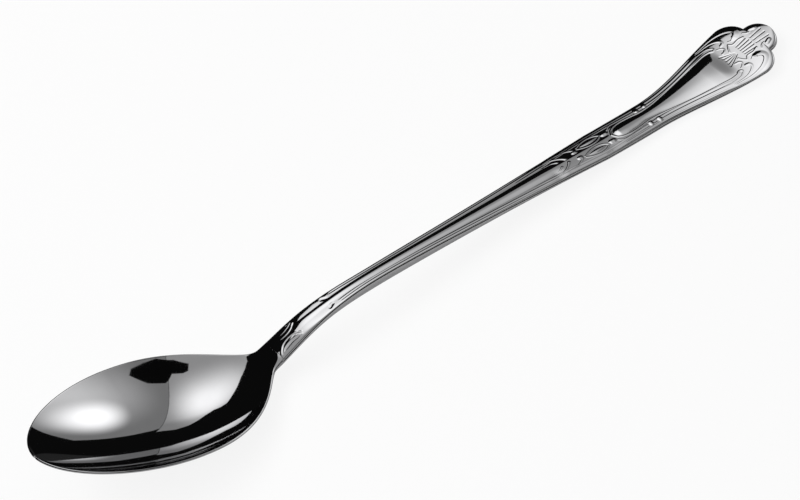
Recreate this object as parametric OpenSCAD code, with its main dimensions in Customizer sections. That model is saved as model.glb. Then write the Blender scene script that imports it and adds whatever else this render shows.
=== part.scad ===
// Serving spoon with a hollow handle. A drawn bowl carries a neck and a flat tang,
// and the tang is cemented and brazed into a handle made of two die-struck shells.
// Sizes in mm, +Z up, bowl towards -X, resting on z = 0 with bowl and handle end.

/* [Overall] */
// Length from the lip of the bowl to the end of the handle
overall_length = 330; // [315:1:350]

/* [Bowl] */
// Length from the lip to where the sides of the bowl run out into the neck
bowl_length = 99; // [92:0.5:104]
// Widest outside width of the bowl
bowl_width = 60.5; // [54:0.5:68]
// Distance of the widest place from the lip
widest_at = 48; // [44:0.5:51]
// Depth of the hollow under the rim
bowl_depth = 13; // [11:0.5:16]
// Metal under the middle of the hollow
bowl_wall = 1.6; // [1.2:0.1:2.2]
// Height of the edge round the rim
rim_edge = 1.1; // [0.8:0.1:1.4]
// Roundness of the hollow across the bowl
hollow_power = 2; // [1.9:0.1:2.6]
// Fullness of the sides towards the lip
lip_power = 1.85; // [1.8:0.05:2.2]
// Fullness of the sides towards the neck
heel_power = 2.4; // [2:0.05:2.6]
// Distance of the lowest place of the rim from the end of the bowl
heel_setback = 7; // [5:0.5:9]
// Rise of the rim from the heel to the lip
rim_rise = 27.8; // [22:0.2:30]

/* [Neck] */
// Width where the neck enters the handle
neck_width = 11; // [9.6:0.1:12]
// Size of the hollow curve between bowl and neck
neck_blend = 3; // [2:0.2:5]
// Rise from the heel to the top of the arch, before rounding
neck_rise = 14.4; // [10:0.2:17]
// Length of the rise along the spoon
neck_run = 27.7; // [22:0.1:32]
// Rounding of the profile at the heel
heel_round = 9.8; // [6:0.2:14]
// Rounding of the profile at the arch
arch_round = 19.3; // [12:0.1:26]

/* [Handle outline] */
// Narrowest width of the stem
stem_width = 7.1; // [6.6:0.1:9]
// Length of the taper from the neck to the narrowest place
neck_taper = 45; // [36:1:54]
// Width of the waist before the flare
waist_width = 15.5; // [12:0.1:18]
// Length of the waist with parallel sides
waist_length = 24; // [16:1:32]
// Length of the flare from the waist to the widest place
flare_length = 44.7; // [38:0.1:56]
// Width over the two side lobes of the end
crown_width = 30.8; // [26:0.2:36]
// Distance of the widest place from the end
crown_setback = 14.2; // [11:0.2:16]
// Width of the round lobe at the end
end_lobe_width = 16; // [14:0.2:22]
// Length of the round lobe at the end
end_lobe_length = 6.9; // [5:0.1:8]

/* [Handle section] */
// Rise of the front shell above the seam
front_rise = 1.5; // [1.2:0.1:2]
// Part of that rise that is the ridge along the middle
ridge_rise = 0.55; // [0.3:0.05:0.8]
// Width of the ridge as a share of the width of the handle
ridge_share = 0.62; // [0.5:0.02:0.76]
// Length over which the ridge grows out of the neck and runs out before the lobes
ridge_runout = 12; // [8:1:18]
// Depth of the back shell at the neck
neck_back = 2.6; // [2.6:0.1:4]
// Depth of the back shell at the arch
arch_back = 5; // [4.4:0.1:6.4]
// Depth of the back shell at the waist
waist_back = 2.2; // [2:0.1:3.4]
// Depth of the back shell at the end
end_back = 1.8; // [1.4:0.1:2.4]
// Sheet thickness of both shells
shell_wall = 0.8; // [0.5:0.1:1]
// Length of the end that is solid right through the shells
solid_end = 4; // [3:0.5:6]
// Distance over which the hollow runs out before the solid end
hollow_runout = 6; // [4:0.5:8]
// Half width of the small flats at the lip and at the end
end_flat = 0.6; // [0.4:0.1:0.8]
// Drop of the stem from the arch to the dip near the end, before rounding
stem_drop = 19.3; // [16:0.1:24]
// Lift of the end above the dip
tip_lift = 4.6; // [2:0.1:6]
// Length of the lifted end
tip_run = 47; // [38:1:56]
// Rounding of the profile at the dip
dip_round = 22.3; // [12:0.1:32]

/* [Joint] */
// Length of solid neck between the bowl and the handle
neck_lead = 1; // [1:0.25:4]
// Length of the tang inside the handle
tang_length = 60; // [30:1:80]
// Width of the tang
tang_width = 3.4; // [2.6:0.1:3.8]
// Thickness of the tang
tang_thickness = 1.6; // [1.2:0.1:1.8]
// Thickness of the brazed seam between the shells and at the neck
braze_gap = 0.2; // [0.2:0.05:0.4]
// Depth of the brazed seam below the outer surface
braze_inset = 0.1; // [0.05:0.05:0.3]
// Clearance on each side of the brazing metal
fit_gap = 0.02; // [0.01:0.01:0.04]
// Clearance round the cement filling
cement_gap = 0.05; // [0.03:0.01:0.08]

/* [Hidden] */
steel = [0.78, 0.78, 0.8];
cement = [0.55, 0.52, 0.48];
braze = [0.75, 0.72, 0.66];

// Places along the spoon, measured from the lip
heel_at = bowl_length - heel_setback;
arch_at = heel_at + neck_run;
joint_at = bowl_length + neck_lead;
mouth_at = joint_at + braze_gap;
stem_at = joint_at + neck_taper;
crown_at = overall_length - crown_setback;
notch_at = overall_length - end_lobe_length;
flare_at = crown_at - flare_length;
waist_at = flare_at - waist_length;
dip_at = overall_length - tip_run;
close_at = overall_length - solid_end;
filler_end = close_at - hollow_runout;
mid_x = overall_length / 2;

// Points across one arc of a section
across = 17;
cross = [for (j = [0 : across - 1]) -cos(180 * j / (across - 1))];

function mix(a, b, t) = a + (b - a) * t;
function ease(t) = let (u = min(1, max(0, t))) u * u * (3 - 2 * u);
function soft_max(a, b, k) = (a + b + sqrt((a - b) * (a - b) + k * k)) / 2;
function ramp(t, k) = (t + sqrt(t * t + k * k)) / 2;
function arc(v, p) = pow(max(0, 1 - pow(abs(v), p)), 1 / p);

// Half width of the bowl, below zero past its end
function bowl_half(s) =
    s < widest_at
    ? bowl_width / 2 * arc((widest_at - s) / widest_at, lip_power)
    : bowl_width / 2 * (1 - pow((s - widest_at) / (bowl_length - widest_at), heel_power));

function flare(t) = t * t * (2.4 - 1.4 * t);

// Half width of the neck and the handle
function handle_half(s) =
    s < stem_at ? mix(neck_width, stem_width, ease((s - bowl_length) / (stem_at - bowl_length))) / 2
    : s < waist_at ? mix(stem_width, waist_width, pow((s - stem_at) / (waist_at - stem_at), 1.5)) / 2
    : s < flare_at ? waist_width / 2
    : s < crown_at ? mix(waist_width, crown_width, flare((s - flare_at) / flare_length)) / 2
    : s < notch_at ? mix(end_lobe_width, crown_width, arc((s - crown_at) / (notch_at - crown_at), 2)) / 2
    : end_lobe_width / 2 * arc(min(1, (s - notch_at) / end_lobe_length), 2.4);

function blend(s) = neck_blend * ease((s - widest_at) / (bowl_length - widest_at));

function half(s) =
    max(end_flat,
        s < widest_at ? bowl_half(s)
        : s < stem_at ? soft_max(bowl_half(s), handle_half(s), blend(s))
        : handle_half(s));

function inner_half(s) = max(half(s) / 2, min(half(s), half(s + shell_wall)) - shell_wall);

// Depth of the hollow along the bowl
function hollow(s) = bowl_depth * pow(max(0, bowl_half(s)) / (bowl_width / 2), 2);

// Depth of the back shell along the handle
function back_mid(s) =
    s < stem_at ? mix(neck_back, arch_back, ease((s - joint_at) / (stem_at - joint_at)))
    : s < waist_at ? mix(arch_back, waist_back, ease((s - stem_at) / (waist_at - stem_at)))
    : mix(waist_back, end_back, ease((s - waist_at) / (overall_length - waist_at)));

// How far the bowl section has turned into the handle section
function joined(s) = ease((s - heel_at) / (joint_at - heel_at));

// The ridge is as wide as the neck at the joint, and stands alone along the handle
function ridged(s) = ease((s - mouth_at) / ridge_runout) * ease((crown_at - s) / ridge_runout);
function ridge(s, v) = mix(arc(v, 2.4), arc(v / ridge_share, 2), ridged(s));

function front(s, v) = (front_rise - ridge_rise) * arc(v, 2.4) + ridge_rise * ridge(s, v);
function back(s, v) = back_mid(s) * arc(v, 3);
function closing(s) = min(1, max(0.04, (close_at - s) / hollow_runout));
function inner_front(s, v) = closing(s) * front(s, v) * (1 - shell_wall / front_rise);
function inner_back(s, v) = closing(s) * back(s, v) * (1 - shell_wall / back_mid(s));

function bowl_top(s, v) = mix(-hollow(s) * (1 - pow(abs(v), hollow_power)), front(s, v), joined(s));
function bowl_under(s, v) =
    let (sheet = rim_edge + (hollow(s) + bowl_wall - rim_edge) * (1 - pow(abs(v), hollow_power)))
    -mix(sheet, braze_gap + back(s, v), joined(s));

// Profile of the seam from the lip to the end, straight runs with rounded corners
rim_slope = -rim_rise / heel_at;
neck_slope = neck_rise / neck_run;
stem_slope = -stem_drop / (dip_at - arch_at);
tip_slope = tip_lift / tip_run;

function raw_edge(s) =
    rim_slope * (s - heel_at)
    + (neck_slope - rim_slope) * ramp(s - heel_at, heel_round)
    + (stem_slope - neck_slope) * ramp(s - arch_at, arch_round)
    + (tip_slope - stem_slope) * ramp(s - dip_at, dip_round);

// Level the spoon so that the bowl and the end of the handle rest on the table
foot_steps = [for (i = [0 : 60]) i / 60];
bowl_foot = min([for (t = foot_steps) let (s = t * bowl_length) raw_edge(s) + bowl_under(s, 0)]);
end_foot =
    min([for (t = foot_steps) let (s = mix(waist_at, overall_length, t)) raw_edge(s) - braze_gap - back_mid(s)]);
bowl_foot_at = mix(widest_at, bowl_length, 0.33);
tilt = (end_foot - bowl_foot) / (dip_at - bowl_foot_at);

function tilted(s) = raw_edge(s) - tilt * (s - bowl_foot_at);

low_bowl = min([for (t = foot_steps) let (s = t * bowl_length) tilted(s) + bowl_under(s, 0)]);
low_end =
    min([for (t = foot_steps) let (s = mix(waist_at, overall_length, t)) tilted(s) - braze_gap - back_mid(s)]);
low = min(low_bowl, low_end);

function edge(s) = tilted(s) - low;
function at(s, y, z) = [s - mid_x, y, edge(s) + z];

// Stations along the pieces
bowl_stations = concat(
    [for (i = [0 : 14]) widest_at * (1 - cos(90 * i / 14))],
    [for (i = [1 : 20]) mix(widest_at, joint_at, i / 20)]);
tang_stations = [for (i = [0 : 12]) joint_at + tang_length * i / 12];
stem_stations = [for (i = [0 : 30]) mix(mouth_at, flare_at, i / 30)];
flare_stations = [for (i = [1 : 12]) mix(flare_at, crown_at, i / 12)];
lobe_stations = [for (i = [1 : 8]) mix(crown_at, notch_at, sin(90 * i / 8))];
end_stations = [for (i = [1 : 9]) mix(notch_at, overall_length, sin(90 * i / 9))];
shell_stations = concat(stem_stations, flare_stations, lobe_stations, end_stations);

// Centre of the tang in the hollow of the handle
function tang_z(s) = (front_rise - braze_gap - back_mid(s)) / 2;

function tang_ring(s, grow) = [
    for (v = cross)
        at(s, v * (tang_width / 2 + grow), tang_z(s) + (tang_thickness / 2 + grow) * (0.4 + 0.6 * arc(v, 4))),
    for (v = cross)
        at(s, -v * (tang_width / 2 + grow), tang_z(s) - (tang_thickness / 2 + grow) * (0.4 + 0.6 * arc(v, 4)))];

function bowl_ring(s) = [
    for (v = cross) at(s, v * half(s), bowl_top(s, v)),
    for (v = cross) at(s, -v * half(s), bowl_under(s, v))];

function front_ring(s) = [
    for (v = cross) at(s, v * half(s), front(s, v)),
    for (v = cross) at(s, -v * inner_half(s), inner_front(s, v))];

function back_ring(s) = [
    for (v = cross) at(s, v * inner_half(s), -braze_gap - inner_back(s, v)),
    for (v = cross) at(s, -v * half(s), -braze_gap - back(s, v))];

function filler_ring(s) = [
    for (v = cross) at(s, v * (inner_half(s) - cement_gap), inner_front(s, v) - cement_gap),
    for (v = cross) at(s, -v * (inner_half(s) - cement_gap), -braze_gap - inner_back(s, v) + cement_gap)];

function neck_ring(s) = [
    for (v = cross) at(s, v * (half(s) - braze_inset), front(s, v) - braze_inset),
    for (v = cross) at(s, -v * (half(s) - braze_inset), -braze_gap - back(s, v) + braze_inset)];

// One cut through the seam, on the side given by the sign
function seam_ring(s, side) =
    let (inner_s = min(s, close_at))
    let (fade = s < close_at ? 1 : mix(1, 0.1, (s - close_at) / solid_end))
    let (outer_y = side * (half(s) - braze_inset))
    let (inner_y = side * inner_half(inner_s) * fade)
    [at(s, outer_y, -fit_gap),
     at(inner_s, inner_y, -fit_gap),
     at(inner_s, inner_y, fit_gap - braze_gap),
     at(s, outer_y, fit_gap - braze_gap)];

// Skin over a run of rings with equal counts, ends closed or joined to a loop
module skin(rings, loop = false) {
    n = len(rings[0]);
    m = len(rings);
    sides = [
        for (r = [0 : m - (loop ? 1 : 2)])
            for (p = [0 : n - 1])
                let (q = (p + 1) % n)
                let (a = r * n)
                let (b = ((r + 1) % m) * n)
                    each [[a + p, a + q, b + q], [a + p, b + q, b + p]]];
    last = (m - 1) * n;
    caps = loop ? [] : [
        for (i = [0 : n / 2 - 2])
            each [
                [i, n - 1 - i, n - 2 - i],
                [i, n - 2 - i, i + 1],
                [last + i, last + i + 1, last + n - 2 - i],
                [last + i, last + n - 2 - i, last + n - 1 - i]]];
    polyhedron([for (ring = rings) each ring], concat(sides, caps), convexity = 8);
}

// Drawn bowl with its neck and tang, one stamping
module bowl() {
    color(steel)
    skin(concat(
        [for (s = bowl_stations) bowl_ring(s)],
        [for (s = tang_stations) tang_ring(s, 0)]));
}

// Ornamented front half of the handle
module handle_front() {
    color(steel)
    skin([for (s = shell_stations) front_ring(s)]);
}

// Plain back half of the handle
module handle_back() {
    color(steel)
    skin([for (s = shell_stations) back_ring(s)]);
}

// Cement that fills the handle and holds the tang
module handle_filler() {
    pocket = [for (i = [12 : -1 : 1]) tang_ring(tang_stations[i] + cement_gap, cement_gap)];
    fill = [for (s = shell_stations) if (s > mouth_at && s < filler_end) filler_ring(s)];
    color(cement)
    skin(concat(
        pocket,
        [tang_ring(mouth_at, cement_gap), filler_ring(mouth_at)],
        fill,
        [filler_ring(filler_end)]));
}

// Brazing metal between the shoulder of the neck and the mouth of the handle
module neck_braze() {
    s0 = joint_at + fit_gap;
    s1 = mouth_at - fit_gap;
    color(braze)
    skin([neck_ring(s0), neck_ring(s1), tang_ring(s1, cement_gap), tang_ring(s0, cement_gap)], loop = true);
}

// Brazing metal along the seam of the two shells, round the end and back
module seam_braze() {
    count = len(shell_stations);
    color(braze)
    skin(concat(
        [for (s = shell_stations) seam_ring(s, -1)],
        [for (i = [count - 1 : -1 : 0]) seam_ring(shell_stations[i], 1)]));
}

bowl();
handle_front();
handle_back();
handle_filler();
neck_braze();
seam_braze();
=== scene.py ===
import math

import bpy
import numpy as np
from mathutils import Matrix


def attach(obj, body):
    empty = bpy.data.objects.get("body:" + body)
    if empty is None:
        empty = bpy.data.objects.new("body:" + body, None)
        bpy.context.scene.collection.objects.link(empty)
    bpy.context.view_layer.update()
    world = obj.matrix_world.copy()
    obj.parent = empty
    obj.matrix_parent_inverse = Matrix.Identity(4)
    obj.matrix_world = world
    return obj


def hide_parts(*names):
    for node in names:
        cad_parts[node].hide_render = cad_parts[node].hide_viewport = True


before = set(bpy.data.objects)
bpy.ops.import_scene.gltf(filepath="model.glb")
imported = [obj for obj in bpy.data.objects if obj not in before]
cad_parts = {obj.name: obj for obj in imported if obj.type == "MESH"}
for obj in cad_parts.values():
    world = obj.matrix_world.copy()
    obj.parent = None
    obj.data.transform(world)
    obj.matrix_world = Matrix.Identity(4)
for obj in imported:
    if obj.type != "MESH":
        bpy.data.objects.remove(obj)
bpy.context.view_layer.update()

MM = 0.001

# Sizes of the spoon in millimetres, as in the part's source
overall_length = 330.0
bowl_length = 99.0
bowl_width = 60.5
widest_at = 48.0
bowl_depth = 13.0
bowl_wall = 1.6
rim_edge = 1.1
heel_setback = 7.0
rim_rise = 27.8
neck_width = 11.0
neck_blend = 3.0
neck_rise = 14.4
neck_run = 27.7
heel_round = 9.8
arch_round = 19.3
stem_width = 7.1
neck_taper = 45.0
waist_width = 15.5
waist_length = 24.0
flare_length = 44.7
crown_width = 30.8
crown_setback = 14.2
end_lobe_width = 16.0
end_lobe_length = 6.9
front_rise = 1.5
neck_back = 2.6
arch_back = 5.0
waist_back = 2.2
end_back = 1.8
shell_wall = 0.8
solid_end = 4.0
hollow_runout = 6.0
end_flat = 0.6
stem_drop = 19.3
tip_lift = 4.6
tip_run = 47.0
dip_round = 22.3
neck_lead = 1.0
tang_length = 60.0
tang_width = 3.4
tang_thickness = 1.6
braze_gap = 0.2

# Powers and shares that round its outlines and sections
lip_power = 1.85
heel_power = 2.4
hollow_power = 2.0
depth_power = 2
front_power = 2.4
back_power = 3
stem_power = 1.5
flare_bend = 1.4
lobe_power = 2
end_power = 2.4
foot_share = 0.33
foot_samples = 61

# Places along the spoon, measured from the lip
mid_x = overall_length / 2
heel_at = bowl_length - heel_setback
arch_at = heel_at + neck_run
joint_at = bowl_length + neck_lead
mouth_at = joint_at + braze_gap
stem_at = joint_at + neck_taper
crown_at = overall_length - crown_setback
flare_at = crown_at - flare_length
waist_at = flare_at - waist_length
notch_at = overall_length - end_lobe_length
dip_at = overall_length - tip_run
close_at = overall_length - solid_end


def mix(a, b, t):
    return a + (b - a) * t


def ease(t):
    t = np.clip(t, 0.0, 1.0)
    return t * t * (3 - 2 * t)


def arc(v, p):
    return np.maximum(0.0, 1 - np.abs(v) ** p) ** (1 / p)


def soft_max(a, b, k):
    return (a + b + np.sqrt((a - b) ** 2 + k * k)) / 2


def ramp(t, k):
    return (t + np.sqrt(t * t + k * k)) / 2


def share(s, start, stop):
    """Place between two stations, from 0 to 1."""
    return np.clip((s - start) / (stop - start), 0, 1)


# Outline from above
def bowl_half(s):
    fore = bowl_width / 2 * arc(1 - share(s, 0, widest_at), lip_power)
    aft = np.maximum(0, s - widest_at) / (bowl_length - widest_at)
    return np.where(s < widest_at, fore, bowl_width / 2 * (1 - aft ** heel_power))


def handle_half(s):
    neck = mix(neck_width, stem_width, ease(share(s, bowl_length, stem_at)))
    stem = mix(stem_width, waist_width, share(s, stem_at, waist_at) ** stem_power)
    t = share(s, flare_at, crown_at)
    flare = mix(waist_width, crown_width, t * t * (1 + flare_bend * (1 - t)))
    lobe = mix(end_lobe_width, crown_width, arc(share(s, crown_at, notch_at), lobe_power))
    end = end_lobe_width * arc(share(s, notch_at, overall_length), end_power)
    full = np.where(s < stem_at, neck, stem)
    full = np.where(s < waist_at, full, waist_width)
    full = np.where(s < flare_at, full, flare)
    full = np.where(s < crown_at, full, lobe)
    return np.where(s < notch_at, full, end) / 2


def half(s):
    blend = neck_blend * ease(share(s, widest_at, bowl_length))
    blended = soft_max(bowl_half(s), handle_half(s), blend)
    blended = np.where(s < widest_at, bowl_half(s), blended)
    return np.maximum(end_flat, np.where(s < stem_at, blended, handle_half(s)))


# Sections, as heights over and under the edge line
def hollow(s):
    return bowl_depth * (np.maximum(0, bowl_half(s)) / (bowl_width / 2)) ** depth_power


def back_mid(s):
    fore = mix(neck_back, arch_back, ease(share(s, joint_at, stem_at)))
    middle = mix(arch_back, waist_back, ease(share(s, stem_at, waist_at)))
    aft = mix(waist_back, end_back, ease(share(s, waist_at, overall_length)))
    return np.where(s < stem_at, fore, np.where(s < waist_at, middle, aft))


def back(s, v):
    return back_mid(s) * arc(v, back_power)


def back_inside(s, v):
    return (back_mid(s) - shell_wall) * arc(v, back_power)


def joined(s):
    return ease(share(s, heel_at, joint_at))


def bowl_top(s, v):
    dish = -hollow(s) * (1 - np.abs(v) ** hollow_power)
    return mix(dish, front_rise * arc(v, front_power), joined(s))


def bowl_under(s, v):
    deep = hollow(s) + bowl_wall - rim_edge
    sheet = rim_edge + deep * (1 - np.abs(v) ** hollow_power)
    return -mix(sheet, braze_gap + back(s, v), joined(s))


# Edge line from the side, tilted and lowered until the spoon stands on the floor
rim_slope = -rim_rise / heel_at
neck_slope = neck_rise / neck_run
stem_slope = -stem_drop / (dip_at - arch_at)
tip_slope = tip_lift / tip_run


def raw_edge(s):
    return (rim_slope * (s - heel_at)
            + (neck_slope - rim_slope) * ramp(s - heel_at, heel_round)
            + (stem_slope - neck_slope) * ramp(s - arch_at, arch_round)
            + (tip_slope - stem_slope) * ramp(s - dip_at, dip_round))


foot_bowl = np.linspace(0, bowl_length, foot_samples)
foot_end = np.linspace(waist_at, overall_length, foot_samples)
under_bowl = bowl_under(foot_bowl, 0.0)
under_end = -braze_gap - back_mid(foot_end)
bowl_foot_at = mix(widest_at, bowl_length, foot_share)
raw_drop = (raw_edge(foot_end) + under_end).min() - (raw_edge(foot_bowl) + under_bowl).min()
tilt = raw_drop / (dip_at - bowl_foot_at)


def tilted(s):
    return raw_edge(s) - tilt * (s - bowl_foot_at)


low = min((tilted(foot_bowl) + under_bowl).min(), (tilted(foot_end) + under_end).min())


def edge(s):
    return tilted(s) - low


# Relief of the handle's face, in millimetres
steepest = 0.16
steps_per_span = 7
stroke_margin = 1.5
stroke_power = 1.5
least_width = 1e-3
tiny = 1e-9


def smooth_path(points, count):
    """Points on a rounded curve through the given ones."""
    p = np.array([points[0]] + list(points) + [points[-1]], float)
    out = []
    spans = len(points) - 1
    for k in range(count + 1):
        x = spans * k / count
        i = min(int(x), spans - 1)
        t = x - i
        a, b, c, d = p[i], p[i + 1], p[i + 2], p[i + 3]
        out.append(0.5 * (2 * b + (c - a) * t + (2 * a - 5 * b + 4 * c - d) * t * t
                          + (3 * b - a - 3 * c + d) * t ** 3))
    return np.array(out)


class Relief:
    """Height map over the rows and columns of the handle's face, the same on both sides."""

    def __init__(self, s, y):
        self.s = s
        self.y = np.abs(y)
        self.up = np.zeros_like(s)
        self.down = np.zeros_like(s)

    def window(self, path, reach):
        """Rows that a path can touch."""
        along = self.s[:, 0]
        near = (along > path[:, 0].min() - reach) & (along < path[:, 0].max() + reach)
        return np.nonzero(near)[0]

    def nearest(self, rows, path):
        """Distance to the path, place along it from 0 to 1, and whether the point is left of it."""
        s, y = self.s[rows], self.y[rows]
        best = np.full(s.shape, np.inf)
        where = np.zeros(s.shape)
        left = np.zeros(s.shape, bool)
        for i in range(len(path) - 1):
            a, b = path[i], path[i + 1]
            d = b - a
            ds, dy = s - a[0], y - a[1]
            t = np.clip((ds * d[0] + dy * d[1]) / max(tiny, d @ d), 0, 1)
            dist = (ds - t * d[0]) ** 2 + (dy - t * d[1]) ** 2
            hit = dist < best
            best[hit] = dist[hit]
            where[hit] = (i + t[hit]) / (len(path) - 1)
            left[hit] = (d[0] * dy - d[1] * ds)[hit] > 0
        return np.sqrt(best), where, left

    def stroke(self, points, width, taper=(1.0, 1.0), swell=0.0, lean=1.0, full=1.0, cut=False):
        """A rounded thread along a curve, raised or cut.

        Taper gives its width at the ends and swell adds to it in the middle, lean makes it wider
        on its left, and full below 1 makes it lower than the steepest form."""
        path = smooth_path(points, steps_per_span * (len(points) - 1))
        rows = self.window(path, width * max(stroke_margin, lean))
        dist, t, left = self.nearest(rows, path)
        w = width * (mix(taper[0], taper[1], t) + swell * np.sin(math.pi * t))
        reach = np.maximum(w * np.where(left, lean, 1.0), least_width)
        height = full * steepest * width * max(1.0, lean / 2) * np.clip(w / width, 0, 1)
        shape = height * np.maximum(0, 1 - (dist / reach) ** 2) ** stroke_power
        side = self.down if cut else self.up
        side[rows] = np.maximum(side[rows], shape)

    def bead(self, at, length, width, turn=0.0, full=1.0, cut=False):
        """A small oval, raised or cut."""
        dx, dy = math.cos(turn) * length / 2, math.sin(turn) * length / 2
        ends = [(at[0] - dx, at[1] - dy), (at[0] + dx, at[1] + dy)]
        self.stroke(ends, width, full=full, cut=cut)


def curve(marks):
    """Values along the spoon, rounded at the marks and never beyond them."""
    x, y = np.array(marks, float).T
    run = np.diff(x)
    rise = np.diff(y) / run
    slope = np.concatenate([rise[:1], np.zeros(len(x) - 2), rise[-1:]])
    for k in range(1, len(x) - 1):
        if rise[k - 1] * rise[k] > 0:
            slope[k] = 2 * rise[k - 1] * rise[k] / (rise[k - 1] + rise[k])

    def value(s):
        k = np.clip(np.searchsorted(x, s) - 1, 0, len(run) - 1)
        t = np.clip((s - x[k]) / run[k], 0, 1)
        bend = slope[k] * (1 - t) - slope[k + 1] * t - rise[k] * (1 - 2 * t)
        return mix(y[k], y[k + 1], t) + run[k] * t * (1 - t) * bend

    return value


# Forms that run along the handle, as pairs of a station and a value
apex = curve([(mouth_at, front_rise), (106.0, 1.45), (112.0, 1.25), (121.0, 0.62), (130.0, 0.38),
              (150.0, 0.34), (172.0, 0.38), (200.0, 0.62), (220.0, 0.95), (235.0, 1.15),
              (256.0, 1.2), (298.0, 1.2), (309.0, 0.85), (326.0, 1.5), (overall_length, 1.5)])
fullness = curve([(mouth_at, 2.4), (115.0, 3.2), (130.0, 5.0), (205.0, 5.0), (230.0, 3.2),
                  (overall_length, 3.2)])
gable = curve([(mouth_at, 0.0), (222.0, 0.0), (232.0, 0.055), (250.0, 0.055), (258.0, 0.0),
               (overall_length, 0.0)])
ridge_height = curve([(mouth_at, 0.0), (106.0, 0.05), (116.0, 0.18), (124.0, 0.22), (180.0, 0.26),
                      (216.0, 0.36), (226.0, 0.3), (231.0, 0.0), (overall_length, 0.0)])
ridge_half = curve([(mouth_at, 3.2), (112.0, 1.8), (124.0, 1.5), (150.0, 1.7), (180.0, 2.0),
                    (200.0, 2.3), (220.0, 2.7), (overall_length, 2.8)])
thread_pitch = curve([(mouth_at, 1.1), (200.0, 1.1), (225.0, 1.05), (250.0, 1.0), (262.0, 1.15),
                      (280.0, 1.45), (300.0, 1.6), (overall_length, 1.7)])
thread_slope = curve([(mouth_at, 0.07), (160.0, 0.08), (200.0, 0.1), (222.0, 0.1), (240.0, 0.1),
                      (262.0, 0.14), (280.0, 0.2), (overall_length, 0.22)])
third_thread = curve([(mouth_at, 0.0), (208.0, 0.0), (228.0, 1.0), (overall_length, 1.0)])
panel_half = curve([(255.4, 0.0), (256.2, 1.7), (258.0, 2.8), (261.0, 3.3), (265.0, 3.1),
                    (270.0, 2.5), (275.0, 2.8), (280.0, 3.7), (285.0, 4.7), (290.0, 5.7),
                    (295.0, 6.6), (300.0, 7.5), (305.0, 8.2), (309.0, 7.6)])
shell_sheet = 0.35
gable_round = 0.2
gable_power = 2
long_threads = 2
threads_start = 127.5
threads_run_in = 4.0
threads_stop = 306.0
threads_run_out = 10.0
panel_rise = 0.46
panel_power = 0.8
panel_start = 255.4
panel_run_in = 2.5
panel_stop = 309.0
panel_run_out = 6.0
border_gap = 0.5
border_turn = 259.0
border_turn_run = 4.0
fan_bow = 0.12
fan_bow_middle = 0.4
relief_margin = 0.5


def neck_ornament(r):
    # A leaf inside an arch on each side
    r.stroke([(100.6, 4.4), (101.6, 2.9), (103.4, 1.45), (106.2, 0.85), (109.0, 1.3),
              (111.2, 2.9)], width=0.7, taper=(0.8, 0.7))
    r.stroke([(101.6, 4.1), (103.4, 2.95), (106.2, 2.5), (109.0, 2.95), (110.8, 3.8)],
             width=0.46, taper=(0.7, 0.6))
    r.stroke([(102.6, 4.0), (106.2, 3.45), (109.6, 3.8)],
             width=0.6, taper=(0.4, 0.4), swell=0.6, cut=True)
    r.stroke([(102.0, 4.5), (106.2, 4.45), (111.0, 4.1)], width=0.4, taper=(0.6, 0.6))
    # A shallow dimple where the threads of the stem begin
    r.bead((125.6, 2.3), length=1.6, width=1.0, turn=-0.5, full=0.4375, cut=True)


def waist_ornament(r):
    # Split leaves where the ridge of the stem ends
    r.stroke([(224.5, 4.7), (228.5, 4.4), (231.0, 3.6), (233.0, 2.3), (234.0, 1.2)],
             width=0.8, taper=(0.2, 1.0))
    r.stroke([(225.5, 2.9), (228.6, 2.6), (230.6, 1.6)], width=0.55, taper=(0.2, 1.0))
    # Curls that close on the middle
    r.stroke([(231.0, 5.1), (235.0, 4.8), (237.6, 3.9), (239.0, 2.8)],
             width=0.7, taper=(0.25, 1.0))
    r.bead((238.6, 2.0), length=0.6, width=1.1)
    # Buds, each a dome inside an outline
    r.stroke([(242.0, 2.9), (246.0, 2.95), (250.0, 3.0)],
             width=1.05, taper=(0.08, 0.08), swell=0.92)
    r.stroke([(240.4, 2.6), (243.0, 1.5), (246.0, 1.0), (249.0, 1.5), (251.2, 3.1)],
             width=0.62, taper=(0.6, 0.8))
    r.stroke([(240.6, 3.3), (243.0, 4.4), (246.0, 4.95), (249.0, 4.5), (251.2, 3.1)],
             width=0.62, taper=(0.6, 0.8))
    # Beads between the buds and the panel
    r.bead((252.9, 2.65), length=1.0, width=1.3)
    # Knots beside the narrow of the panel
    for at in ((269.2, 4.75), (273.0, 5.05)):
        r.bead(at, length=1.0, width=1.15, turn=math.pi / 2)


def panel_border(r):
    """A thread round the start of the panel and along its sides, and a shorter one outside it."""
    s = np.array([256.0, 256.6, 258.0, 261.0, 265.0, 270.0, 275.0, 280.0, 285.0, 290.0, 295.0,
                  300.0, 304.0])
    ahead = border_gap * np.maximum(0, (border_turn - s) / border_turn_run)
    sides = list(zip(s - ahead, panel_half(s) + border_gap))
    r.stroke([(254.6, 0.0)] + sides + [(306.6, 8.6), (308.2, 8.2)], width=0.5)
    r.stroke([(254.9, 3.5), (256.3, 4.7), (259.0, 5.1), (262.0, 5.0), (265.5, 4.4), (268.0, 3.9)],
             width=0.42, taper=(0.8, 0.5))


def fan(r, rays, near, far, near_step, far_step, width):
    """Grooves of a shell, from one station to another, spread about the middle line."""
    for k in range(rays):
        bow = fan_bow * k * k
        middle = ((near + far) / 2 - fan_bow_middle * bow, (near_step + far_step) / 2 * k)
        r.stroke([(near, near_step * k), middle, (far - bow, far_step * k)],
                 width, taper=(0.7, 1.0), cut=True)


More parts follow.
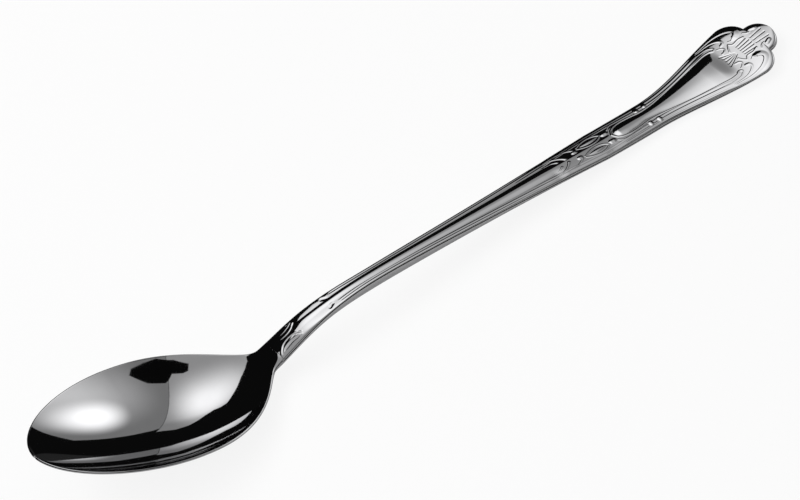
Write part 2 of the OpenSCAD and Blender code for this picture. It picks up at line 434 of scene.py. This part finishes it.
def crown_ornament(r):
    # Three shells, one above the other
    fan(r, rays=2, near=321.8, far=327.0, near_step=1.9, far_step=2.4, width=0.6)
    fan(r, rays=3, near=315.6, far=320.6, near_step=1.3, far_step=1.6, width=0.55)
    fan(r, rays=3, near=313.4, far=308.6, near_step=0.3, far_step=1.7, width=0.5)
    # Broad lobes at both sides that curl in at their ends
    r.stroke([(304.0, 12.2), (309.0, 12.9), (312.0, 13.0), (315.0, 12.5), (317.3, 11.5),
              (318.9, 10.2), (319.4, 9.0), (318.9, 7.9), (318.0, 7.4)],
             width=0.6, taper=(0.3, 1.0), lean=4.0)
    # Nested scrolls inside the lobes
    r.stroke([(303.0, 11.6), (308.0, 11.8), (310.5, 11.4), (312.4, 10.4), (313.4, 9.2),
              (313.2, 8.0), (312.3, 7.6)], width=0.6, taper=(0.3, 1.0), lean=1.8)
    r.stroke([(303.0, 10.4), (307.0, 10.4), (308.8, 9.5), (309.5, 8.5), (308.7, 7.8),
              (307.7, 8.3)], width=0.52, taper=(0.3, 1.0), lean=1.5)
    r.stroke([(310.0, 7.1), (311.4, 6.3), (312.0, 5.2), (311.4, 4.2), (310.2, 3.8)],
             width=0.62, taper=(0.5, 0.9))
    # Pointed leaves between the shells
    r.stroke([(312.4, 2.5), (313.2, 4.2), (314.2, 5.7)], width=0.6, taper=(0.7, 0.6))
    r.stroke([(314.2, 5.7), (315.2, 4.5), (316.2, 4.3), (318.2, 4.6), (320.2, 4.0)],
             width=0.6, taper=(0.6, 0.9))
    r.stroke([(315.2, 6.9), (316.4, 6.2), (318.0, 6.0)], width=0.55, taper=(0.4, 0.8))
    # Curls that close the shell of the end
    r.stroke([(321.4, 5.7), (322.3, 4.6), (323.6, 4.2)], width=0.6, taper=(0.6, 0.9))
    r.bead((325.0, 4.9), length=1.6, width=1.1, turn=-0.4)


def edge_threads(s, y):
    """Threads along both edges, as one wave from the edge inwards."""
    turns = (half(s) - np.abs(y)) / thread_pitch(s)
    lift = thread_slope(s) * thread_pitch(s) / math.pi
    shown = ease((s - threads_start) / threads_run_in) * ease((threads_stop - s) / threads_run_out)
    inner = np.where(turns < long_threads + 1, third_thread(s), 0.0)
    shown = shown * np.where(turns < long_threads, 1.0, inner)
    return lift * shown * (1 - np.cos(2 * math.pi * turns)) / 2


def panel(s, y):
    """Smooth raised panel between the waist and the crown."""
    wide = np.maximum(panel_half(s), least_width)
    inside = np.maximum(0, 1 - (y / wide) ** 2)
    ends = ease((s - panel_start) / panel_run_in) * ease((panel_stop - s) / panel_run_out)
    return panel_rise * inside ** panel_power * ends


def face_height(s, y, v):
    """Height of the handle's face over the seam, ornament included."""
    fall = np.sqrt(y * y + gable_round ** 2) - gable_round
    ground = (apex(s) - ridge_height(s)) * arc(v, fullness(s))
    ground = ground - gable(s) * fall * arc(v, gable_power)
    ridge = ridge_height(s) * np.maximum(0, 1 - (y / ridge_half(s)) ** 2)
    relief = Relief(s, y)
    for ornament in (neck_ornament, waist_ornament, panel_border, crown_ornament):
        ornament(relief)
    # The relief fades out at the very edge
    rim = ease((1 - np.abs(v)) * half(s) / relief_margin)
    raised = np.maximum(edge_threads(s, y), relief.up * rim)
    return ground + ridge + panel(s, y) + raised - relief.down * rim


def inner_face(s, v):
    """Height of the front shell's inner side."""
    return (apex(s) - ridge_height(s) - shell_sheet) * arc(v, front_power)


# Meshes: how finely they are divided, and small rounds and gaps in millimetres
lip_rows = 110
heel_rows = 120
bowl_columns = 97
bowl_gather = 0.6
rim_steps = 9
rim_radius = 0.5
least_round = 0.02
least_half = 0.12
slope_step = 0.02
last_band = 0.02
tang_rows = 13
tang_power = 0.5
face_columns = 301
face_gather = 0.35
back_columns = 81
back_gather = 0.85
back_every = 3
inner_columns = 25
inner_gather = 0.8
end_rows = 70
thinnest = 0.04
edge_inset = 0.55
edge_round = 0.85
full_inset_half = 6.0
back_share = 0.92
filling_share = 0.88
cement_gap = 0.05
pocket_rows = 40
pocket_edge = 0.4
pocket_power = 4
filling_rows = 120
ring_columns = 97
ring_gather = 0.8
ring_gap = 0.02
ring_clear = 0.1


def skin_rows(rows, name, loop=False, flat_rows=(), flat_columns=()):
    """A closed skin over rows of points, each row one closed ring, with caps or joined to a loop.

    The caps, and the bands after the flat rows and columns, keep sharp edges."""
    count, n = rows.shape[:2]
    verts = rows.reshape(-1, 3) * MM
    faces = []
    smooth = []
    for i in range(count if loop else count - 1):
        a = i * n
        b = (i + 1) % count * n
        for j in range(n):
            k = (j + 1) % n
            faces.append((a + j, b + j, b + k, a + k))
            smooth.append(i not in flat_rows and j not in flat_columns)
    if not loop:
        smooth += [False, False]
        faces.append(tuple(range(n)))
        faces.append(tuple(range(count * n - 1, (count - 1) * n - 1, -1)))
    mesh = bpy.data.meshes.new(name)
    mesh.from_pydata(verts.tolist(), [], faces)
    mesh.polygons.foreach_set("use_smooth", smooth)
    mesh.validate()
    mesh.update()
    obj = bpy.data.objects.new(name, mesh)
    bpy.context.scene.collection.objects.link(obj)
    return obj


def columns(count, gather):
    """Places across a section from -1 to 1, gathered towards its edges."""
    t = np.linspace(-1, 1, count)
    return mix(t, np.sin(t * math.pi / 2), gather)


def spread(marks):
    """Stations from runs of (start, stop, step)."""
    out = []
    for a, b, step in marks:
        out.append(np.linspace(a, b, max(2, int(round((b - a) / step)) + 1))[:-1])
    return np.concatenate(out + [[marks[-1][1]]])


def place(s, y, z):
    return np.stack(np.broadcast_arrays(s - mid_x, y, z), -1)


def ring_of(s, y, top, bottom):
    """One closed ring at a station, over the top and back underneath."""
    return np.concatenate([place(s, y, top), place(s, -y, bottom)])


def tang_mid(s):
    return edge(s) + (front_rise - braze_gap - back_mid(s)) / 2


def inner_half(s):
    return np.maximum(half(s) / 2, np.minimum(half(s), half(s + shell_wall)) - shell_wall)


def closing(s):
    """Share of the hollow's height that is left towards the solid end."""
    return np.clip((close_at - s) / hollow_runout, thinnest, 1)


shell_rows = spread([(mouth_at, 127.5, 0.16), (127.5, 222.0, 0.45), (222.0, 258.0, 0.14),
                     (258.0, 300.0, 0.18), (300.0, notch_at, 0.11)])
lobe_rows = notch_at + end_lobe_length * np.sin(np.linspace(0, math.pi / 2, end_rows))[1:]
shell_rows = np.concatenate([shell_rows, lobe_rows])


def tang_rings(count):
    """Rings of the flat tang, each of the given number of points."""
    a = np.linspace(0, 2 * math.pi, count, endpoint=False) + math.pi
    y = tang_width / 2 * np.sign(np.cos(a)) * np.abs(np.cos(a)) ** tang_power
    z = -tang_thickness / 2 * np.sign(np.sin(a)) * np.abs(np.sin(a)) ** tang_power
    stations = joint_at + np.linspace(0, tang_length, tang_rows)
    return np.array([place(s, y, tang_mid(s) + z) for s in stations])


def build_bowl():
    """Bowl with a rounded rim, its neck, and the tang inside the handle."""
    lip = widest_at * (1 - np.cos(np.linspace(0, math.pi / 2, lip_rows)))
    heel = np.linspace(widest_at, joint_at - last_band, heel_rows)[1:]
    s = np.concatenate([lip, heel, [joint_at]])
    # The rim is rounded along the direction that points out of the outline
    before = np.minimum(s, slope_step)
    slope = (half(s + slope_step) - half(s - before)) / (slope_step + before)
    length = np.sqrt(1 + slope * slope)
    ns, ny = -slope / length, 1 / length
    r = rim_radius * (1 - joined(s)) + least_round
    top_s = np.clip(s - ns * r, 0, joint_at)
    top_y = np.maximum(least_half, half(s) - ny * r)
    v = columns(bowl_columns, bowl_gather)
    turn = np.linspace(math.pi / 2, -math.pi / 2, rim_steps)[1:-1]
    rings = []
    for i, (si, yi) in enumerate(zip(top_s, top_y)):
        e = edge(si)
        z1, z0 = e + bowl_top(si, 1.0), e + bowl_under(si, 1.0)
        z = (z1 + z0) / 2 + (z1 - z0) / 2 * np.sin(turn)
        out = r[i] * np.cos(turn)
        upper = place(si, v * yi, e + bowl_top(si, v))
        right = place(si + ns[i] * out, yi + ny[i] * out, z)
        lower = place(si, -v * yi, e + bowl_under(si, v))
        left = place(si + ns[i] * out[::-1], -yi - ny[i] * out[::-1], z[::-1])
        rings.append(np.concatenate([upper, right, lower, left]))
    rows = np.concatenate([np.array(rings), tang_rings(len(rings[0]))])
    return skin_rows(rows, "spoon_bowl", flat_rows={len(rings) - 1})


def build_front():
    """Upper shell with the ornament on its face."""
    v = columns(face_columns, face_gather)
    s = np.repeat(shell_rows[:, None], len(v), 1)
    y = half(s) * v
    outer = place(s, y, edge(s) + face_height(s, y, v))
    w = columns(inner_columns, inner_gather)
    q = shell_rows[:, None]
    inner = place(q, -inner_half(q) * w, edge(q) + closing(q) * inner_face(q, w))
    creases = {len(v) - 1, len(v) + len(w) - 1}
    return skin_rows(np.concatenate([outer, inner], 1), "handle_face", flat_columns=creases)


def build_back():
    """Plain lower shell, its upper edge a little rounded."""
    s = np.unique(np.append(shell_rows[::back_every], shell_rows[-1]))[:, None]
    w = columns(inner_columns, inner_gather)
    inside = closing(s) * back_share * back_inside(s, w)
    inner = place(s, inner_half(s) * w, edge(s) - braze_gap - inside)
    v = columns(back_columns, back_gather)
    deep = back(s, v)
    inset = edge_inset * np.maximum(0, 1 - deep / edge_round) ** 2
    inset = inset * np.minimum(1, half(s) / full_inset_half)
    outer = place(s, -(half(s) - inset) * v, edge(s) - braze_gap - deep)
    creases = {len(w) - 1, len(w) + len(v) - 1}
    return skin_rows(np.concatenate([inner, outer], 1), "handle_underside", flat_columns=creases)


def build_filling():
    """Cement inside the shells, with a pocket for the tang."""
    v = columns(inner_columns, inner_gather)

    def pocket(s):
        tall = (tang_thickness / 2 + cement_gap) * mix(pocket_edge, 1, arc(v, pocket_power))
        wide = tang_width / 2 + cement_gap
        return ring_of(s, v * wide, tang_mid(s) + tall, tang_mid(s) - tall)

    def body(s):
        wide = inner_half(s) - cement_gap
        over = edge(s) + inner_face(s, v) - cement_gap
        under = edge(s) - braze_gap - filling_share * back_inside(s, v) + cement_gap
        return ring_of(s, v * wide, over, under)

    pocket_end = joint_at + tang_length + cement_gap
    rows = [pocket(s) for s in np.linspace(pocket_end, mouth_at, pocket_rows)]
    rows += [body(s) for s in np.linspace(mouth_at, close_at - hollow_runout, filling_rows)]
    return skin_rows(np.array(rows), "handle_filling")


def build_neck_ring():
    """Ring of braze, filed flush with the neck and the handle's mouth."""
    v = columns(ring_columns, ring_gather)

    def outer(s):
        over = edge(s) + front_rise * arc(v, front_power)
        return ring_of(s, half(s) * v, over, edge(s) - braze_gap - back(s, v))

    def inner(s):
        tall = tang_thickness / 2 + ring_clear
        wide = tang_width / 2 + ring_clear
        return ring_of(s, wide * v, tang_mid(s) + tall, tang_mid(s) - tall)

    s0 = joint_at + ring_gap
    s1 = mouth_at - ring_gap
    rows = np.array([outer(s0), outer(s1), inner(s1), inner(s0)])
    return skin_rows(rows, "neck_ring", loop=True, flat_rows=range(len(rows)))


filling = build_filling()
neck_ring = build_neck_ring()
bowl = build_bowl()
face = build_front()
underside = build_back()


# Node helpers
def new_material(name):
    mat = bpy.data.materials.new(name)
    mat.use_nodes = True
    tree = mat.node_tree
    return mat, tree, tree.nodes["Principled BSDF"]


def noise(tree, coords, scale, detail, rough):
    node = tree.nodes.new("ShaderNodeTexNoise")
    node.inputs["Scale"].default_value = scale
    node.inputs["Detail"].default_value = detail
    node.inputs["Roughness"].default_value = rough
    tree.links.new(coords, node.inputs["Vector"])
    return node.outputs["Fac"]


def map_range(tree, value, low_in, high_in, low_out, high_out, kind="SMOOTHSTEP"):
    node = tree.nodes.new("ShaderNodeMapRange")
    node.interpolation_type = kind
    node.inputs["From Min"].default_value = low_in
    node.inputs["From Max"].default_value = high_in
    node.inputs["To Min"].default_value = low_out
    node.inputs["To Max"].default_value = high_out
    tree.links.new(value, node.inputs["Value"])
    return node.outputs["Result"]


def blend_colours(tree, value, dark, light, start=0.0, stop=1.0):
    """Colour between a dark and a light one, by a value from start to stop."""
    node = tree.nodes.new("ShaderNodeValToRGB")
    for element, at, colour in zip(node.color_ramp.elements, (start, stop), (dark, light)):
        element.position = at
        element.color = (*colour, 1)
    tree.links.new(value, node.inputs["Fac"])
    return node.outputs["Color"]


def calculate(tree, operation, a, b):
    """Math node for a socket and a second socket or a number."""
    node = tree.nodes.new("ShaderNodeMath")
    node.operation = operation
    tree.links.new(a, node.inputs[0])
    if isinstance(b, float):
        node.inputs[1].default_value = b
    else:
        tree.links.new(b, node.inputs[1])
    return node.outputs["Value"]


def vector_math(tree, operation, vector):
    node = tree.nodes.new("ShaderNodeVectorMath")
    node.operation = operation
    tree.links.new(vector, node.inputs[0])
    return node


def dot(tree, vector, axis):
    node = vector_math(tree, "DOT_PRODUCT", vector)
    node.inputs[1].default_value = axis
    return node.outputs["Value"]


# Materials of the spoon
grain_low = 0.3
grain_high = 0.7
polish_stretch = (60.0, 2400.0, 2400.0)
polish_depth = 0.00002


def metal(name, dark, light, rough_low, rough_high, bump):
    """Polished metal with faint clouds in colour and gloss, and fine marks along the spoon."""
    mat, tree, shader = new_material(name)
    coords = tree.nodes.new("ShaderNodeTexCoord").outputs["Object"]
    cloud = noise(tree, coords, scale=45.0, detail=4.0, rough=0.6)
    colour = blend_colours(tree, cloud, dark, light, grain_low, grain_high)
    tree.links.new(colour, shader.inputs["Base Color"])
    smear = noise(tree, coords, scale=120.0, detail=5.0, rough=0.65)
    rough = map_range(tree, smear, grain_low, grain_high, rough_low, rough_high, "LINEAR")
    tree.links.new(rough, shader.inputs["Roughness"])
    stretch = tree.nodes.new("ShaderNodeMapping")
    stretch.inputs["Scale"].default_value = polish_stretch
    tree.links.new(coords, stretch.inputs["Vector"])
    marks = noise(tree, stretch.outputs["Vector"], scale=1.0, detail=2.0, rough=0.5)
    bump_node = tree.nodes.new("ShaderNodeBump")
    bump_node.inputs["Strength"].default_value = bump
    bump_node.inputs["Distance"].default_value = polish_depth
    tree.links.new(marks, bump_node.inputs["Height"])
    tree.links.new(bump_node.outputs["Normal"], shader.inputs["Normal"])
    shader.inputs["Metallic"].default_value = 1.0
    return mat


def cement_material():
    """Gritty cement."""
    mat, tree, shader = new_material("handle_cement")
    coords = tree.nodes.new("ShaderNodeTexCoord").outputs["Object"]
    grit = noise(tree, coords, scale=900.0, detail=6.0, rough=0.7)
    colour = blend_colours(tree, grit, dark=(0.44, 0.41, 0.37), light=(0.64, 0.61, 0.57))
    tree.links.new(colour, shader.inputs["Base Color"])
    rough = map_range(tree, grit, grain_low, grain_high, low_out=0.75, high_out=0.95,
                      kind="LINEAR")
    tree.links.new(rough, shader.inputs["Roughness"])
    return mat


steel = metal("polished_steel", dark=(0.66, 0.66, 0.67), light=(0.71, 0.71, 0.72),
              rough_low=0.02, rough_high=0.05, bump=0.03)
polished_braze = metal("polished_braze", dark=(0.64, 0.64, 0.63), light=(0.70, 0.70, 0.69),
                       rough_low=0.02, rough_high=0.06, bump=0.03)
braze = metal("silver_braze", dark=(0.30, 0.29, 0.27), light=(0.40, 0.39, 0.36),
              rough_low=0.25, rough_high=0.4, bump=0.2)
cement = cement_material()

for obj, node, slot_name, material in (
        (bowl, "bowl", "polished_steel", steel),
        (face, "handle_front", "polished_steel", steel),
        (underside, "handle_back", "polished_steel", steel),
        (neck_ring, "neck_braze", "silver_braze", polished_braze),
        (filling, "handle_filler", "handle_cement", cement)):
    obj.data.materials.append(material)
    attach(obj, "root")
    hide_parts(node)
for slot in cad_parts["seam_braze"].material_slots:
    slot.material = braze

# Studio, in metres and degrees
floor_size = 6.0
floor_colour = 0.9
floor_rough = 0.9
camera_share = 0.88
# What the metal sees of the floor is a painted reflection: a dim glow in front of the spoon,
# painted black behind it
mirror_share = 0.7
painted_floor_reflection = 0.25
painted_black_reflection = 0.02
rear_start = 0.0
rear_stop = 0.06
tent_radius = 3.0
hood_radius = 2.0
hood_light = 0.003
card_step = 8
lowest = 88.0
seam_front = (0, -52)
seam_back = (43, 37.5)
seam_width = 0.3
right_top = 34
seam_share = (right_top - seam_front[1]) / (seam_back[1] - seam_front[1])
seam_top = mix(seam_front[0], seam_back[0], seam_share)
left_base = 0.36
left_back = ((24, 42.5), (-2, 52))
dim_start = 0.5
dim_stop = 9
dim_least = 0.75
right_base = 0.22
world_dark = 0.004
sun_energy = 7.0
sun_angle = 100


def stage_mesh(name, points, faces, material):
    mesh = bpy.data.meshes.new(name)
    mesh.from_pydata(points, [], faces)
    obj = bpy.data.objects.new(name, mesh)
    bpy.context.scene.collection.objects.link(obj)
    mesh.materials.append(material)
    return obj


def floor_material():
    """Pale cloth, white to the camera, that keeps part of its own shading.

    To the metal it shows a painted reflection: a dim glow in place of its own light, and painted
    black behind the spoon."""
    mat, tree, shader = new_material("pale_floor")
    shader.inputs["Base Color"].default_value = (floor_colour, floor_colour, floor_colour, 1)
    shader.inputs["Roughness"].default_value = floor_rough
    rays = tree.nodes.new("ShaderNodeLightPath")
    spot_on_floor = tree.nodes.new("ShaderNodeNewGeometry").outputs["Position"]
    axes = tree.nodes.new("ShaderNodeSeparateXYZ")
    tree.links.new(spot_on_floor, axes.inputs["Vector"])
    behind = axes.outputs["Y"]
    surface = shader.outputs["BSDF"]
    for kind in ("Is Camera Ray", "Is Glossy Ray", "Is Transmission Ray"):
        glow = tree.nodes.new("ShaderNodeEmission")
        glow.inputs["Strength"].default_value = 1.0
        part = camera_share
        # Glossy and transmission rays see a painted reflection in place of the floor: a dim glow,
        # painted black behind the spoon
        if kind != "Is Camera Ray":
            part = map_range(tree, behind, rear_start, rear_stop, mirror_share, 1.0)
            light = map_range(tree, behind, rear_start, rear_stop, painted_floor_reflection, painted_black_reflection)
            tree.links.new(light, glow.inputs["Strength"])
        blend = tree.nodes.new("ShaderNodeMixShader")
        tree.links.new(calculate(tree, "MULTIPLY", rays.outputs[kind], part), blend.inputs["Fac"])
        tree.links.new(surface, blend.inputs[1])
        tree.links.new(glow.outputs["Emission"], blend.inputs[2])
        surface = blend.outputs["Shader"]
    tree.links.new(surface, tree.nodes["Material Output"].inputs["Surface"])
    return mat


def toward(px, py, radius=tent_radius):
    """Point on the tent: px to +X and py to +Y, in degrees away from straight up."""
    away = math.radians(min(lowest, math.hypot(px, py)))
    turn = math.atan2(px, py)
    return (radius * math.sin(away) * math.sin(turn), radius * math.sin(away) * math.cos(turn),
            radius * math.cos(away))


def card(name, outline, material, radius=tent_radius):
    """A sheet of the studio from corners in degrees, hidden from the camera itself."""
    corners = []
    for (x0, y0), (x1, y1) in zip(outline, outline[1:] + outline[:1]):
        steps = max(1, int(math.hypot(x1 - x0, y1 - y0) / card_step))
        corners += [toward(mix(x0, x1, k / steps), mix(y0, y1, k / steps), radius)
                    for k in range(steps)]
    middle = np.mean(corners, 0)
    count = len(corners)
    corners.append((middle * radius / np.linalg.norm(middle)).tolist())
    obj = stage_mesh(name, corners, [(k, (k + 1) % count, count) for k in range(count)], material)
    obj.visible_camera = False


def glow_material(name, strength=1.0):
    """Sheet that gives off light."""
    mat = bpy.data.materials.new(name)
    mat.use_nodes = True
    tree = mat.node_tree
    tree.nodes.clear()
    out = tree.nodes.new("ShaderNodeOutputMaterial")
    glow = tree.nodes.new("ShaderNodeEmission")
    glow.inputs["Strength"].default_value = strength
    tree.links.new(glow.outputs["Emission"], out.inputs["Surface"])
    return mat, tree, glow


def bearing(tree):
    """Unit vector from the spoon to the place on the sheet."""
    position = tree.nodes.new("ShaderNodeNewGeometry").outputs["Position"]
    return vector_math(tree, "NORMALIZE", position).outputs["Vector"]


def spot(tree, way, centre, long_way, reach, core, end, strength):
    """Glow that fades from a bright place on the cloth, along an ellipse turned the long way.

    Reach gives the ellipse's half sizes in degrees, core and end the shares of it between which
    the glow fades."""
    middle = np.array(toward(*centre, 1.0))
    along = np.array(toward(centre[0] + long_way[0], centre[1] + long_way[1], 1.0)) - middle
    along -= middle * (along @ middle)
    along /= np.linalg.norm(along)
    side = np.cross(middle, along)
    parts = tree.nodes.new("ShaderNodeCombineXYZ")
    for axis, size, name in ((along, reach[0], "X"), (side, reach[1], "Y")):
        scaled = (axis / math.sin(math.radians(size))).tolist()
        tree.links.new(dot(tree, way, scaled), parts.inputs[name])
    far = vector_math(tree, "LENGTH", parts.outputs["Vector"]).outputs["Value"]
    return map_range(tree, far, core, end, strength, 0.0)


def left_cloth():
    """Cloth with one broad glow, a little dimmer towards its back edge."""
    mat, tree, glow = glow_material("tent_left_glow")
    way = bearing(tree)
    lamp_glow = spot(tree, way, centre=(9, 25), long_way=(0, 1), reach=(40, 27),
                     core=0.1, end=1.05, strength=1.0)
    light = calculate(tree, "ADD", lamp_glow, left_base)
    back_line = np.cross(toward(*left_back[0], 1.0), toward(*left_back[1], 1.0))
    back_line = (back_line / np.linalg.norm(back_line)).tolist()
    rear = map_range(tree, dot(tree, way, back_line),
                     low_in=math.cos(math.radians(90 - dim_start)),
                     high_in=math.cos(math.radians(90 - dim_stop)),
                     low_out=dim_least, high_out=1.0)
    tree.links.new(calculate(tree, "MULTIPLY", light, rear), glow.inputs["Strength"])
    return mat


def right_cloth():
    """Cloth with a lamp behind it, seen as one bright place in a weaker glow."""
    mat, tree, glow = glow_material("tent_right_glow")
    way = bearing(tree)
    lamp_glow = spot(tree, way, centre=(60, 9), long_way=(0.5, 1), reach=(17, 11),
                     core=0.2, end=1.15, strength=1.15)
    haze = spot(tree, way, centre=(64, -12), long_way=(0, 1), reach=(34, 40),
                core=0.0, end=1.0, strength=0.55)
    light = calculate(tree, "ADD", calculate(tree, "ADD", lamp_glow, haze), right_base)
    tree.links.new(light, glow.inputs["Strength"])
    return mat


def build_world():
    """Dark room that the camera sees as white."""
    world = bpy.data.worlds.new("studio")
    bpy.context.scene.world = world
    world.use_nodes = True
    tree = world.node_tree
    tree.nodes.clear()
    out = tree.nodes.new("ShaderNodeOutputWorld")
    choose = tree.nodes.new("ShaderNodeMixShader")
    rays = tree.nodes.new("ShaderNodeLightPath")
    tree.links.new(rays.outputs["Is Camera Ray"], choose.inputs["Fac"])
    for place_in_mix, level in ((1, world_dark), (2, 1.0)):
        shade = tree.nodes.new("ShaderNodeBackground")
        shade.inputs["Color"].default_value = (level, level, level, 1)
        tree.links.new(shade.outputs["Background"], choose.inputs[place_in_mix])
    tree.links.new(choose.outputs["Shader"], out.inputs["Surface"])


corner = floor_size
stage_mesh("floor", [(-corner, -corner, 0), (corner, -corner, 0), (corner, corner, 0),
                     (-corner, corner, 0)], [(0, 1, 2, 3)], floor_material())
card("tent_left", [seam_front, seam_back, (37, 43.5), (30, 45), (24, 44.2), (18, 42.5), (12, 42.4),
                   (8, 45.5), (5, 46), (2, 43.5), (-3, 38), (-8, 31), (-13, 26), (-24, 5),
                   (-30, -52)], left_cloth())
card("tent_right", [(seam_front[0] + seam_width, seam_front[1]), (50, -58), (80, -25), (79, 0),
                    (75.5, 15), (72, 26), (67, 36), (48, right_top),
                    (seam_top + seam_width, right_top)], right_cloth())
card("camera_hood", [(1.5, -17), (4, -12.5), (7, -13), (13, -17.2), (17, -14), (20, -12.5),
                     (30, -17), (36, -25), (33, -29), (24, -31), (16, -31), (7, -25)],
     glow_material("black_card", hood_light)[0], hood_radius)
build_world()

# Soft light for the floor alone, which the metal doesn't mirror
lamp_data = bpy.data.lights.new("soft_sun", "SUN")
lamp_data.energy = sun_energy
lamp_data.angle = math.radians(sun_angle)
lamp = bpy.data.objects.new("soft_sun", lamp_data)
bpy.context.scene.collection.objects.link(lamp)
lamp.visible_glossy = False

# Camera at the photograph's angle: heading from +Y to +X, tilt downwards and roll in degrees
photo_width = 800
focal_pixels = 6500.0
heading = math.radians(27.30201)
downward = math.radians(43.65044)
roll = math.radians(-14.038755)
aim = np.array((0.0020241, 0.0156187, 0.0))
distance = 2.353182
ahead = np.array((math.sin(heading) * math.cos(downward), math.cos(heading) * math.cos(downward),
                  -math.sin(downward)))
level = np.array((math.cos(heading), -math.sin(heading), 0.0))
upright = np.cross(level, ahead)
right = level * math.cos(roll) + upright * math.sin(roll)
up = upright * math.cos(roll) - level * math.sin(roll)
eye = aim - ahead * distance
cam_data = bpy.data.cameras.new("camera")
cam_data.sensor_width = 36.0
cam_data.lens = focal_pixels / photo_width * cam_data.sensor_width
cam_data.clip_end = 50.0
cam = bpy.data.objects.new("camera", cam_data)
bpy.context.scene.collection.objects.link(cam)
cam.matrix_world = Matrix([(right[i], up[i], -ahead[i], eye[i]) for i in range(3)] + [(0, 0, 0, 1)])
bpy.context.scene.camera = cam
bpy.context.scene.view_settings.view_transform = "Standard"
